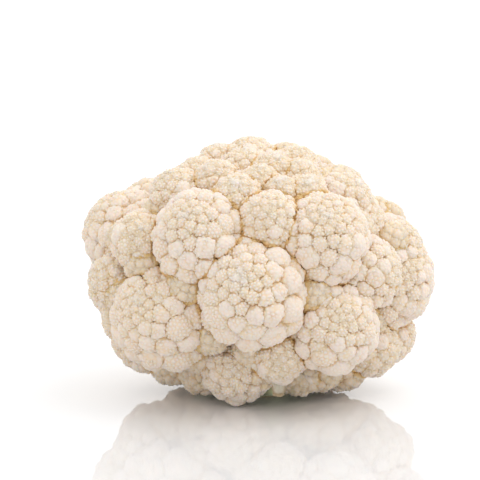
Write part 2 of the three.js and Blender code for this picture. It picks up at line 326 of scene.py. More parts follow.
def reach_of(rays, domes, shape):
    """The furthest point of a shape's domes along each ray from its centre, or the ground between them."""
    polar = np.arccos(np.clip(rays @ shape["tip"], -1, 1))
    ground = shape["radius"] - GROUND_DEPTH * width_at(shape, polar)
    if not domes:
        return ground
    centres = np.array([centre for centre, _ in domes])
    radii = np.array([radius for _, radius in domes])
    along = rays @ centres.T
    square = along**2 - (centres**2).sum(1) + radii**2
    far = np.where(square > 0, along + np.sqrt(np.maximum(square, 0)), 0)
    return np.maximum(far.max(1), ground)


def clearance(points, balls):
    """How far points are outside the nearest of some balls; less than 0 is inside."""
    nearest = np.full(len(points), FAR)
    for centre, radius in balls:
        nearest = np.minimum(nearest, np.linalg.norm(points - centre, axis=1) - radius)
    return nearest


def outer_buds(shape, points, width, domes, near):
    """The buds that lie on the outside of a shape and clear of its neighbours, as directions."""
    length = np.linalg.norm(points, axis=1)
    rays = points / length[:, None]
    reach = reach_of(rays, domes, shape)
    shown = length > reach - BUD_UNDER * width
    shown &= clearance(points + shape["centre"], near) > -HIDDEN_DEPTH
    rays, width, tops = rays[shown], width[shown], np.maximum(reach, length)[shown]
    keep = uncrowded(rays * shape["radius"], width)
    return rays[keep], width[keep], tops[keep]


def uncrowded(points, width):
    """Indices that are left when each point too close to one of a wider thing is dropped."""
    order = np.argsort(-width, kind="stable")
    tree = KDTree(len(points))
    for index in order:
        tree.insert(points[index], int(index))
    tree.balance()
    dropped = np.zeros(len(points), bool)
    rank = np.empty(len(points), int)
    rank[order] = np.arange(len(points))
    for index in order:
        if dropped[index]:
            continue
        for _, other, _ in tree.find_range(points[index], CROWDED * width[index]):
            if rank[other] > rank[index]:
                dropped[other] = True
    return np.flatnonzero(~dropped)


def even_rays(step):
    """Directions that cover a sphere, about step radians apart."""
    count = max(int(4 * math.pi / (PACKING * step**2)), FEWEST_RAYS)
    k = np.arange(count)
    return spread(UP, np.arccos(1 - (2 * k + 1) / count), k * GOLDEN_ANGLE)


def coarse_rays(rays, tip, steps):
    """Directions where a shape is hidden: fine ones beside its buds, and wider apart beyond them."""
    found = []
    nearest = COARSE_START * steps[0]
    for step, outer in zip(steps, list(steps[1:]) + [None]):
        even = even_rays(step)
        even = even[even @ tip > POLE_COSINE]
        apart = np.arccos(np.clip((even @ rays.T).max(1), -1, 1))
        furthest = COARSE_SPAN * outer if outer else math.pi
        chosen = (apart > nearest) & (apart <= furthest)
        found.append(even[chosen])
        nearest = furthest + COARSE_CLEAR * (outer or 0)
    return np.concatenate(found), np.repeat(steps, [len(group) for group in found])


def edges_of(faces):
    return np.concatenate([faces[:, [0, 1]], faces[:, [1, 2]], faces[:, [2, 0]]])


def triangulate(rays, tip):
    """Delaunay triangles of directions that cover a sphere, the last of them opposite the tip."""
    across, along = basis(tip)
    flat = rays[:-1]
    scale = 2 / (1 + flat @ tip)
    plane = np.stack([(flat @ across) * scale, (flat @ along) * scale], 1)
    result = delaunay_2d_cdt([Vector(p) for p in plane.tolist()], [], [], 0, 1e-9)
    origin = np.array([group[0] for group in result[3]])
    faces = origin[np.array(result[2])]
    a, b, c = (plane[faces[:, i]] for i in range(3))
    area = (b[:, 0] - a[:, 0]) * (c[:, 1] - a[:, 1]) - (b[:, 1] - a[:, 1]) * (c[:, 0] - a[:, 0])
    inward = (area < 0) != (np.cross(across, along) @ tip < 0)
    faces[inward] = faces[inward][:, ::-1]
    edges = edges_of(faces)
    count = len(rays)
    keys = edges[:, 0] * count + edges[:, 1]
    twins = edges[:, 1] * count + edges[:, 0]
    border = edges[~np.isin(twins, keys)]
    cap = np.column_stack([border[:, 1], border[:, 0], np.full(len(border), count - 1)])
    return np.concatenate([faces, cap])


def cells(faces, count):
    """For each directed edge: its first point, and the triangles before and after it round that point."""
    edges = edges_of(faces)
    owner = np.tile(np.arange(len(faces)), 3)
    keys = edges[:, 0] * count + edges[:, 1]
    order = np.argsort(keys)
    twins = edges[:, 1] * count + edges[:, 0]
    before = owner[order[np.searchsorted(keys[order], twins)]]
    return edges[:, 0], before, owner


def shape_surface(shape, domes, rays, width, tops, steps, relief):
    """Vertices, triangles and bud values of a closed shape: each bud is a cell with a raised middle."""
    radius, tip = shape["radius"], shape["tip"]
    even, spacing = coarse_rays(rays, tip, [step / radius for step in steps])
    seeds = np.concatenate([rays, even, -tip[None]])
    is_bud = np.arange(len(seeds)) < len(rays)
    polar = np.arccos(np.clip(seeds @ tip, -1, 1))
    ground = radius - GROUND_DEPTH * width_at(shape, polar) - COARSE_SINK * radius
    wide = np.concatenate([width, spacing * radius, [radius]])
    height = ground
    height[:len(rays)] = tops
    faces = triangulate(seeds, tip)
    crease_rays = unit((seeds[faces] / wide[faces][..., None]).sum(1))
    all_buds = is_bud[faces].all(1)
    crease_reach = reach_of(crease_rays, domes, shape)
    crease_reach = np.where(all_buds, np.minimum(crease_reach, height[faces].max(1)), height[faces].min(1))
    crease_width = np.where(all_buds, wide[faces].min(1), HIDDEN_CREASE)
    crease_height = crease_reach - relief * BUD_CREASE * crease_width
    apexes = seeds * (height + np.where(is_bud, relief * BUD_RISE * wide, 0))[:, None]
    creases = crease_rays * crease_height[:, None]

    seed, before, after = cells(faces, len(seeds))
    ringed = (is_bud & (wide > shape["ringed"]))[seed]
    ring_of = np.full(len(seed), -1)
    ring_of[ringed] = np.arange(ringed.sum())
    keys = seed * len(faces) + after
    order = np.argsort(keys)
    before_at = order[np.searchsorted(keys[order], seed * len(faces) + before)]
    rings = apexes[seed] * (1 - RING_AT) + creases[after] * RING_AT
    rings = (rings + seeds[seed] * (relief * RING_RISE * wide[seed])[:, None])[ringed]
    first_crease = len(seeds)
    first_ring = first_crease + len(faces)
    crease_before, crease_after = first_crease + before, first_crease + after
    ring_before, ring_after = first_ring + ring_of[before_at], first_ring + ring_of
    triangles = np.concatenate([
        np.column_stack([seed, crease_before, crease_after])[~ringed],
        np.column_stack([seed, ring_before, ring_after])[ringed],
        np.column_stack([ring_before, crease_before, crease_after])[ringed],
        np.column_stack([ring_before, crease_after, ring_after])[ringed],
    ])
    points = np.concatenate([apexes, creases, rings])
    edge = is_bud[faces].any(1).astype(float)
    bud = np.concatenate([np.zeros(len(seeds)), edge, np.full(len(rings), RING_SHADE)])
    return points, triangles, bud


def surface_values(shape, points, bud, near, florets):
    """For each point: its place on a bud, its nearness to a crease and to other florets, from 0 to 1, which set
    how much painted shade its colour takes.
    """
    length = np.linalg.norm(points, axis=1)
    polar = np.arccos(np.clip(points @ shape["tip"] / length, -1, 1))
    pit = np.clip((shape["radius"] - length) / (PIT * width_at(shape, polar)), 0, 1)
    world = points + shape["centre"]
    crease = np.clip(1 - np.maximum(clearance(world, near), 0) / CREASE_BAND, 0, 1)
    gap = np.clip(1 - np.maximum(clearance(world, florets), 0) / GAP_BAND, 0, 1)
    raised = clearance(world + RAISED * unit(world), florets)
    gap = gap * np.clip((RAISED - raised) / SUNK_BAND, 0, 1)
    return {"bud": bud, "crease": np.maximum(crease, pit), "gap": gap}


MAP_RADIUS = 0.49  # just inside the square that the map has


def disc_map(points, tip):
    """A map of a closed shape round its centre: the tip in the middle of a disc, the far side at its edge."""
    rays = unit(points)
    across, along = basis(tip)
    polar = np.arccos(np.clip(rays @ tip, -1, 1))
    turn = np.arctan2(rays @ along, rays @ across)
    share = MAP_RADIUS * polar / math.pi
    return 0.5 + np.column_stack([share * np.cos(turn), share * np.sin(turn)])


def build_shape(shape, grown, near, florets, steps, relief):
    """The mesh data of one shape, or None if its neighbours hide it."""
    points, width, domes, _ = grown
    rays, width, tops = outer_buds(shape, points, width, domes, near)
    if not len(rays):
        return None
    points, triangles, bud = shape_surface(shape, domes, rays, width, tops, steps, relief)
    values = surface_values(shape, points, bud, near, florets)
    return points + shape["centre"], triangles, values, disc_map(points, shape["tip"])


def balls_near(shape, balls, margin):
    reach = shape["radius"] + margin
    return [ball for ball in balls if np.linalg.norm(ball[0] - shape["centre"]) < reach + ball[1]]


def is_buried(shape, florets):
    """Whether a lobe's top lies well inside another floret."""
    top = shape["centre"] + shape["tip"] * shape["radius"]
    return any(np.linalg.norm(top - f["centre"]) < BURIED * f["radius"] for f in florets)


def press(lobe, floret, others):
    """A lobe swollen sideways towards the floret that it faces, so that neighbours meet."""
    apart = [np.linalg.norm(lobe["centre"] - centre) - radius for centre, radius in others]
    if not apart:
        return lobe
    if lobe["tip"] @ floret["tip"] > RIM_COSINE:
        return lobe
    nearest = int(np.argmin(apart))
    free = apart[nearest] - lobe["radius"]
    if not 0 < free < PRESS_REACH:
        return lobe
    towards = unit(others[nearest][0] - lobe["centre"])
    across = towards - lobe["tip"] * (towards @ lobe["tip"])
    swell = PRESS * free
    lobe["radius"] += PRESS_SWELL * swell
    lobe["centre"] = lobe["centre"] + across * PRESS_SHIFT * swell
    return lobe


def place_large():
    """The large florets by name, as their table gives them."""
    named = {}
    for region, rows in FLORETS.items():
        size = (WIDE_BUD, WIDE_RINGED) if region in WIDE_BUDDED else (BUD, RINGED)
        for number, row in enumerate(rows, 1):
            name = f"floret_{region}_{number}"
            named[name] = place_floret(*row, TIPS.get(name), *size)
    return named


def build_floret(floret, own, lobes, around, others, shade_casters):
    """The closed shapes of a floret and its lobes, clear of the balls around it and of other florets."""
    cores = [(centre, OCCLUDES * radius) for centre, radius in others]
    # the florets passed in as shade casters paint shade in the gaps beside them
    parts = [build_shape(floret, own, around + cores, shade_casters, FLORET_COARSE, 1)]
    for lobe, carried in lobes:
        core = (floret["centre"], floret["radius"] - lobe["radius"])
        near = [ball for ball in balls_near(lobe, around, 1) if ball[0] is not lobe["centre"]]
        parts.append(build_shape(lobe, carried, near + [core] + cores, shade_casters, LOBE_COARSE, LOBE_RELIEF))
    return parts


def ball_of(shape):
    return shape["centre"], shape["radius"]


def make_florets():
    """The stems, each large floret as a piece, and the small florets in the gaps as one piece."""
    named = place_large()
    large = list(named.values())
    pieces = [make_stems(large)]
    grown, lobes = [], []
    for index, floret in enumerate(large):
        random = np.random.default_rng(index)
        others = [
            f for f in large
            if f is not floret
            and np.linalg.norm(f["centre"] - floret["centre"]) < f["radius"] + floret["radius"] + NEIGHBOURS
        ]
        own = grow(floret, FLORET_REACH, random)
        balls = [ball_of(f) for f in others]
        kept = [press(lobe, floret, balls) for lobe in own[3] if not is_buried(lobe, others)]
        grown.append(own)
        lobes.append([(lobe, grow(lobe, LOBE_REACH, random)) for lobe in kept])
    lobe_balls = [[ball_of(lobe) for lobe, _ in group] for group in lobes]
    floret_balls = [ball_of(f) for f in large]
    # florets whose nearness paints shade in the gaps of those beside them; the between florets paint none and
    # take none
    shade_casting_balls = [ball for ball, name in zip(floret_balls, named) if "between" not in name]

    def lobes_around(floret):
        return [ball for group in lobe_balls for ball in balls_near(floret, group, 0)]

    for index, (name, floret) in enumerate(named.items()):
        others = balls_near(floret, floret_balls[:index] + floret_balls[index + 1:], BESIDE)
        shade_casters = [ball for ball in balls_near(floret, shade_casting_balls, BESIDE) if ball[0] is not floret["centre"]]
        if "between" in name:
            shade_casters = []
        parts = build_floret(floret, grown[index], lobes[index], lobes_around(floret), others, shade_casters)
        pieces.append(write_mesh(name, *joined(parts)))
    parts = []
    for index, floret in enumerate(place_fillers(floret_balls)):
        random = np.random.default_rng(FILLER_SEED + index)
        own = grow(floret, FLORET_REACH, random)
        carried = [(lobe, grow(lobe, LOBE_REACH, random)) for lobe in own[3]]
        around = lobes_around(floret) + [ball_of(lobe) for lobe, _ in carried]
        others = balls_near(floret, floret_balls, BESIDE)
        parts += build_floret(floret, own, carried, around, others, others)
    pieces.append(write_mesh("floret_fill", *joined(parts)))
    return pieces


def stacked(parts, places):
    """The mesh data of several closed shapes as one. places gives each its square on the map, and its share."""
    points, triangles, values, corners = zip(*parts)
    starts = np.cumsum([0] + [len(own) for own in points])
    triangles = [own + start for own, start in zip(triangles, starts)]
    values = {key: np.concatenate([own[key] for own in values]) for key in values[0]}
    corners = [(own + place) / share for own, (place, share) in zip(corners, places)]
    return np.concatenate(points), np.concatenate(triangles), values, np.concatenate(corners)


def joined(parts):
    """The mesh data of a floret's closed shapes as one. The first has a quarter of the map to itself."""
    parts = [part for part in parts if part]
    side = math.ceil(math.sqrt(len(parts) / 3)) or 1
    free = [(x, y) for y in range(2 * side) for x in range(2 * side) if x >= side or y >= side]
    places = [((0, 0), 2)] + [(place, 2 * side) for place in free]
    placed = [(points + HEAD_CENTRE, triangles, values, uv[triangles.ravel()])
              for points, triangles, values, uv in parts]
    return stacked(placed, places)


def new_object(name, data):
    made = bpy.data.objects.new(name, data)
    bpy.context.scene.collection.objects.link(made)
    return made


def write_mesh(name, points, triangles, values, corners):
    """A mesh object in the row frame, with its values and, for each corner, its place on a map for baking."""
    mesh = bpy.data.meshes.new(name)
    mesh.vertices.add(len(points))
    mesh.vertices.foreach_set("co", (points * MM).astype(np.float32).ravel())
    mesh.loops.add(triangles.size)
    mesh.loops.foreach_set("vertex_index", triangles.astype(np.int32).ravel())
    mesh.polygons.add(len(triangles))
    mesh.polygons.foreach_set("loop_start", np.arange(0, triangles.size, 3, dtype=np.int32))
    mesh.polygons.foreach_set("loop_total", np.full(len(triangles), 3, np.int32))
    mesh.update()
    mesh.validate()
    mesh.polygons.foreach_set("use_smooth", np.ones(len(mesh.polygons), bool))
    for attribute, data in values.items():
        layer = mesh.attributes.new(attribute, "FLOAT", "POINT")
        layer.data.foreach_set("value", data.astype(np.float32))
    layer = mesh.uv_layers.new(name="OFBake")
    layer.data.foreach_set("uv", corners.astype(np.float32).ravel())
    return new_object(name, mesh)


# ---------------------------------------------------------------- the stalk, leaf bases and stems


def grid_mesh(rings, labels):
    """A closed surface through equal rings of points, closed at each end on the ring's middle.

    labels holds, for each value, one number for each ring.
    """
    count, size = rings.shape[:2]
    points = np.concatenate([rings.reshape(-1, 3), [rings[0].mean(0), rings[-1].mean(0)]])
    row, column = (grid.ravel() for grid in np.meshgrid(np.arange(count - 1), np.arange(size), indexing="ij"))
    following = (column + 1) % size
    a, b = row * size + column, row * size + following
    k, onward, top = np.arange(size), (np.arange(size) + 1) % size, (count - 1) * size
    ends = np.full(size, count * size)
    triangles = np.concatenate([
        np.column_stack([a, b, b + size]),
        np.column_stack([a, b + size, a + size]),
        np.column_stack([onward, k, ends]),
        np.column_stack([top + k, top + onward, ends + 1]),
    ])

    def on_map(*places):
        return np.stack([np.column_stack([x / size, (y + 1) / (count + 1)]) for x, y in places], 1)

    first, last = np.zeros(size), np.full(size, count - 1)
    corners = np.concatenate([
        on_map((column, row), (column + 1, row), (column + 1, row + 1)),
        on_map((column, row), (column + 1, row + 1), (column, row + 1)),
        on_map((k + 1, first), (k, first), (k + 0.5, first - 1)),
        on_map((k, last), (k + 1, last), (k + 0.5, last + 1)),
    ])
    crossed = np.cross(points[triangles[:, 1]], points[triangles[:, 2]])
    if (points[triangles[:, 0]] * crossed).sum() < 0:
        triangles, corners = triangles[:, ::-1], corners[:, ::-1]
    values = {key: np.concatenate([np.repeat(data, size), data[:1], data[-1:]]) for key, data in labels.items()}
    return points, triangles, values, corners.reshape(-1, 2)


def roughness_at(points, scale, seed):
    """Smooth noise from -1 to 1 at points, with features about scale across."""
    shift = Vector((seed * 17.3, seed * 5.1, seed * 9.7))
    return np.array([noise.noise(Vector(point) / scale + shift) for point in points.tolist()])


STALK_FACE = 20.5  # radius of the cut face
STALK_TOP = 20.0  # height at which the stalk goes into the head
STALK_SIDE = [(0, 20.5), (0.35, 21.1), (0.8, 21.5), (7, 22), (12, 22.8), (16, 24.4), (20, 23.6)]
STALK_HIDDEN = (23.4, 2, 8)  # radii of its hidden top from the edge inward, and how many rings it has
STALK_INNER = 0.4  # radius of the innermost ring of the face
STALK_FACE_RINGS = 26
STALK_SIDES = 130
STALK_STEP = 0.8
STALK_RIBS = 5
STALK_RIB_DEPTH = 0.35
STALK_ROUND = 6  # inside this radius the ribs fade out
FIBRE_STRETCH = (1, 1, 0.12)
FIBRE_SIZE = 1.1
FIBRE_DEPTH = 0.16
LUMP_SIZE = 5.0
LUMP_DEPTH = 0.3
STALK_SUNK = 0.2  # how far the rough side lies inside the smooth one
PITH_EDGE, PITH_FADE, PITH_DEPTH = 15.5, 2.5, 0.45  # the soft middle, which shrinks most
BUNDLE_AT, BUNDLE_DEPTH = 17, 0.12  # the firm ring of bundles, and how far the rest lies under it
FACE_LUMP_DEPTH, FACE_FIBRE_DEPTH = 0.22, 0.12
DRY_EDGE = 1.4  # how far the dry colour reaches in from the cut's edge
DRY_HEIGHT = 1.5  # and up the side


def make_stalk():
    """The cut stalk: a knife-cut face underneath that has dried a little, and a ribbed, fibrous side."""
    face = np.linspace(STALK_INNER, STALK_FACE, STALK_FACE_RINGS)
    heights = np.arange(STALK_STEP / 4, STALK_TOP, STALK_STEP)
    side = np.interp(heights, *zip(*STALK_SIDE))
    top = np.linspace(*STALK_HIDDEN)
    radii = np.concatenate([face, side, top])
    levels = np.concatenate([np.zeros(len(face)), heights, np.full(len(top), STALK_TOP)])
    turns = np.linspace(0, 2 * math.pi, STALK_SIDES, endpoint=False)
    rings = np.zeros((len(radii), STALK_SIDES, 3))
    share = np.clip(radii / STALK_ROUND, 0, 1)[:, None]
    outward = radii[:, None] - share * STALK_RIB_DEPTH * (1 + np.cos(STALK_RIBS * (turns - math.pi / 2)))
    rings[..., 0] = outward * np.sin(turns)
    rings[..., 1] = -outward * np.cos(turns)
    rings[..., 2] = levels[:, None]
    flat = rings.reshape(-1, 3)
    fibre = roughness_at(flat * FIBRE_STRETCH, FIBRE_SIZE, 1).reshape(outward.shape)
    lumps = roughness_at(flat, LUMP_SIZE, 2).reshape(outward.shape)
    on_side = ((levels > 0) & (levels < STALK_TOP))[:, None]
    swollen = on_side * (FIBRE_DEPTH * fibre + LUMP_DEPTH * lumps - STALK_SUNK)
    rings[..., 0] += swollen * np.sin(turns)
    rings[..., 1] -= swollen * np.cos(turns)
    on_face = levels == 0
    pith = np.clip((PITH_EDGE - radii) / PITH_FADE, 0, 1)
    bundles = np.exp(-(radii - BUNDLE_AT)**2)
    sunk = PITH_DEPTH * pith[:, None] + BUNDLE_DEPTH * (1 - bundles[:, None])
    sunk = sunk + FACE_LUMP_DEPTH * np.abs(lumps) + FACE_FIBRE_DEPTH * np.abs(fibre)
    rings[..., 2] += on_face[:, None] * np.clip(STALK_FACE - radii, 0, 1)[:, None] * sunk
    labels = {
        "cut": on_face.astype(float),
        "edge": np.exp(-((radii - STALK_FACE) / DRY_EDGE)**2) * (levels < DRY_HEIGHT),
        "bundle": bundles * on_face,
    }
    return write_mesh("stalk_cut", *grid_mesh(rings, labels))


# The trimmed leaf bases: azimuth, half width in degrees at the stalk, and the radius of the cut.
STUBS = [
    (13, 21, 48), (58, 22, 33), (108, 23, 31), (160, 23, 34), (212, 23, 32), (264, 23, 33), (315, 22, 31),
]
STUB_ROOT = 23.2
STUB_TAPER = 0.42  # how the width falls each time that the radius doubles
STUB_LOW = 2
STUB_RISE = 0.2
STUB_THICKNESS = 8.5
STUB_EDGE = 0.45  # thickness at its sides, over that at its middle
STUB_BLUNT, STUB_ROUND = 1.004, 4  # where its sides close, and how steeply
STUB_STEPS = 22
STUB_POINTS = 32
STUB_RIBS = 7
STUB_RIB_DEPTH = 0.22
STUB_TOP_RIBS = 0.4  # depth of the ribs on its upper side, over that
STUB_ROUGH, STUB_ROUGH_SIZE = 0.25, 3.0
STUB_DRY = 1.2  # how far the dry colour reaches in from the cut
CUT_INSETS = 7
CUT_DIP = 0.5  # how deep the middle of the cut lies
CUT_ROUGH_SIZE = 1.6
CUT_RIM = 4  # the cut dips, and its dry rim fades, over one part in this many


def make_stub(number, azimuth, half_width, cut_radius):
    """A leaf base: a curved slab with ribs along its underside, cut off by a knife at its outer end."""
    length = cut_radius - STUB_ROOT
    rings, cut, edge = [], [], []
    shares = np.concatenate([np.linspace(-1, 1, STUB_POINTS), np.linspace(1, -1, STUB_POINTS)])
    below = np.arange(len(shares)) < STUB_POINTS
    for step in range(STUB_STEPS + 1):
        radius = STUB_ROOT + length * step / STUB_STEPS
        taper = (STUB_ROOT / radius) ** (1 - math.log2(STUB_TAPER))
        angles = math.radians(azimuth) + shares * math.radians(half_width) * taper
        half = STUB_THICKNESS / 2 * (STUB_EDGE + (1 - STUB_EDGE) * (1 - shares**2))
        half = half * np.clip(STUB_ROUND * (STUB_BLUNT - np.abs(shares)), 0, 1)**0.5
        ribs = STUB_RIB_DEPTH * np.cos(math.pi * STUB_RIBS * shares) * (1 - shares**2)
        middle = STUB_LOW + STUB_RISE * (radius - STUB_ROOT) + STUB_THICKNESS / 2
        heights = middle + np.where(below, -half - ribs, half + STUB_TOP_RIBS * ribs)
        ring = np.column_stack([radius * np.sin(angles), -radius * np.cos(angles), heights])
        ring[:, 2] += STUB_ROUGH * roughness_at(ring, STUB_ROUGH_SIZE, number)
        rings.append(ring)
        cut.append(0.0)
        edge.append(math.exp(-((cut_radius - radius) / STUB_DRY)**2))
    out = direction(azimuth, 0)
    middle = rings[-1].mean(0)
    for inset in range(1, CUT_INSETS + 1):
        share = inset / (CUT_INSETS + 1)
        ring = rings[STUB_STEPS] * (1 - share) + middle * share
        rough = roughness_at(ring, CUT_ROUGH_SIZE, number + 20)
        dip = CUT_DIP * min(CUT_RIM * share, 1) + STUB_ROUGH * rough
        rings.append(ring - out * dip[:, None])
        cut.append(1.0)
        edge.append(math.exp(-(CUT_RIM * share)**2))
    root = rings[0] * 0.5 + rings[0].mean(0) * 0.5
    labels = {
        "cut": np.array([0.0] + cut), "edge": np.array([0.0] + edge), "bundle": np.zeros(len(rings) + 1),
    }
    return write_mesh(f"leaf_base_{number}", *grid_mesh(np.array([root] + rings), labels))


SKIN_STEPS, SKIN_POINTS = 20, 16
SKIN_START = (-0.6, -0.5, 1.4)  # its root: outward from the cut, sideways, and up from the base's underside
SKIN_SPAN = 6.0
SKIN_BEFORE = 0.45  # the share of that on the near side of its root
SKIN_REACH = 2.6
SKIN_ARCH, SKIN_BLUNT = (0.06, 0.9), 0.7  # the part of an arch that its outline follows, and how bluntly
SKIN_WAVE, SKIN_WAVES = 0.25, 9  # how much of its reach comes and goes, and how fast
SKIN_THICK = 0.5
SKIN_SAG = 0.7
SKIN_CURL = 1.1
SKIN_LIP = 1.1  # where its thickness would come to nothing, over its reach


def make_skin():
    """The dry, curled strip of skin left hanging at the cut of the leaf base in front."""
    azimuth, _, cut_radius = STUBS[0]
    out = direction(azimuth, 0)
    across = np.cross(UP, out)
    low = STUB_LOW + STUB_RISE * (cut_radius - STUB_ROOT)
    outward, sideways, upward = SKIN_START
    start = out * (cut_radius + outward) + across * sideways + UP * (low + upward)
    rings = []
    for step in range(SKIN_STEPS):
        share = step / (SKIN_STEPS - 1)
        middle = start + across * SKIN_SPAN * (share - SKIN_BEFORE) - UP * SKIN_SAG * math.sin(math.pi * share)
        arch = math.sin(math.pi * (SKIN_ARCH[0] + SKIN_ARCH[1] * share))**SKIN_BLUNT
        reach = SKIN_REACH * arch * (1 - SKIN_WAVE + SKIN_WAVE * math.cos(SKIN_WAVES * share))
        section = []
        for k in range(SKIN_POINTS):
            angle = 2 * math.pi * k / SKIN_POINTS
            forward = 0.5 + 0.5 * math.cos(angle)
            curl = -SKIN_CURL * forward**2 + SKIN_THICK / 2 * math.sin(angle) * (SKIN_LIP - forward)
            section.append(middle + out * reach * forward + UP * curl)
        rings.append(section)
    labels = {"cut": np.zeros(SKIN_STEPS), "edge": np.ones(SKIN_STEPS), "bundle": np.zeros(SKIN_STEPS)}
    return write_mesh("leaf_skin_1", *grid_mesh(np.array(rings), labels))


CORE_SHARE = 0.72  # its size, over that of the head
CORE_LOW = -36.0
CORE_SIDES = 72
CORE_RINGS = 40
CORE_ROUGH, CORE_ROUGH_SIZE = 0.05, 9.0


def make_core():
    """The thick of the head, which shows only deep between the florets."""
    rings = []
    for step in range(CORE_RINGS):
        rise = math.pi * (step + 0.5) / CORE_RINGS - math.pi / 2
        turns = np.linspace(0, 2 * math.pi, CORE_SIDES, endpoint=False)
        level = math.cos(rise)
        rays = np.column_stack([
            level * np.sin(turns), -level * np.cos(turns), np.full(CORE_SIDES, math.sin(rise)),
        ])
        ring = rays * HEAD_HALF * CORE_SHARE
        ring *= (1 + CORE_ROUGH * roughness_at(ring, CORE_ROUGH_SIZE, 3))[:, None]
        ring[:, 2] = np.maximum(ring[:, 2], CORE_LOW)
        rings.append(ring + HEAD_CENTRE)
    # crease and gap at full, so the whole core takes the deepest painted shade of the gaps
    labels = {"bud": np.zeros(CORE_RINGS), "crease": np.ones(CORE_RINGS), "gap": np.ones(CORE_RINGS)}
    return write_mesh("curd_core", *grid_mesh(np.array(rings), labels))


STEM_START = 12.0  # how far from the head's axis they start
STEM_FOOT = -43.0
STEM_LIFT = 12.0
STEM_RADIUS = 6.5
STEM_SHARE = 0.62  # their radius inside a floret, over its own
STEM_SIDES = 16
STEM_STEPS = 10
STEM_ROUGH, STEM_ROUGH_SIZE = 0.07, 3.0
STEM_STRETCH = (1, 1, 0.4)
STEM_HIGHEST = -4.0  # stems are made to florets whose centres lie below this, from the head's centre


def make_stems(florets):
    """The thick stems that fan out from the stalk to the lower florets, joined as one piece."""
    parts = []
    turns = np.linspace(0, 2 * math.pi, STEM_SIDES, endpoint=False)
    for number, floret in enumerate(florets):
        end = floret["centre"]
        if end[2] > STEM_HIGHEST:
            continue
        level = unit(end * (1, 1, 0))
        start = level * STEM_START + UP * STEM_FOOT
        bend = level * 0.5 * np.linalg.norm(end[:2]) + UP * (0.5 * (STEM_FOOT + end[2]) + STEM_LIFT)
        rings = []
        for step in range(STEM_STEPS + 1):
            share = step / STEM_STEPS
            centre = (1 - share)**2 * start + 2 * share * (1 - share) * bend + share**2 * end
            ahead = unit((1 - share) * (bend - start) + share * (end - bend))
            across, along = basis(ahead)
            radius = STEM_RADIUS + (STEM_SHARE * floret["radius"] - STEM_RADIUS) * share**1.5
            ring = centre + radius * (np.outer(np.cos(turns), across) + np.outer(np.sin(turns), along))
            rough = roughness_at(ring * STEM_STRETCH, STEM_ROUGH_SIZE, number)
            ring += (ring - centre) * (STEM_ROUGH * rough)[:, None]
            rings.append(ring)
        labels = {key: np.zeros(STEM_STEPS + 1) for key in ("bud", "crease", "gap")}
        parts.append(grid_mesh(np.array(rings) + HEAD_CENTRE, labels))
    side = math.ceil(math.sqrt(len(parts)))
    places = [((index % side, index // side), side) for index in range(len(parts))]
    return write_mesh("curd_stems", *stacked(parts, places))


# ---------------------------------------------------------------- materials


def new_material(name):
    material = bpy.data.materials.new(name)
    material.use_nodes = True
    tree = material.node_tree
    return material, tree, tree.nodes["Principled BSDF"]


def node(tree, kind, inputs=None, **settings):
    made = tree.nodes.new("ShaderNode" + kind)
    for key, value in settings.items():
        setattr(made, key, value)
    for key, value in (inputs or {}).items():
        if isinstance(value, bpy.types.NodeSocket):
            tree.links.new(value, made.inputs[key])
        else:
            made.inputs[key].default_value = value
    return made


def mixed(tree, factor, first, second, blend="MIX"):
    """The colour output of a Mix node between two colours, or sockets that carry them."""
    mix = node(tree, "Mix", {0: factor, 6: first, 7: second}, data_type="RGBA", blend_type=blend)
    return mix.outputs[2]


def ranged(tree, value, low, high, to_low=0.0, to_high=1.0):
    made = node(tree, "MapRange", {0: value, 1: low, 2: high, 3: to_low, 4: to_high})
    return made.outputs[0]


def attribute(tree, name):
    return node(tree, "Attribute", attribute_name=name).outputs["Fac"]


def noise_at(tree, place, scale, detail):
    return node(tree, "TexNoise", {"Vector": place, "Scale": scale, "Detail": detail}).outputs["Fac"]


def set_plain(shader, values):
    for key, value in values.items():
        shader.inputs[key].default_value = value


CREAM = (0.89, 0.787, 0.71, 1)
CREAM_WARM = (0.88, 0.757, 0.65, 1)
PAINTED_CREASE_SHADE = (0.93, 0.65, 0.30, 1)
PAINTED_GAP_SHADE = (0.80, 0.51, 0.18, 1)


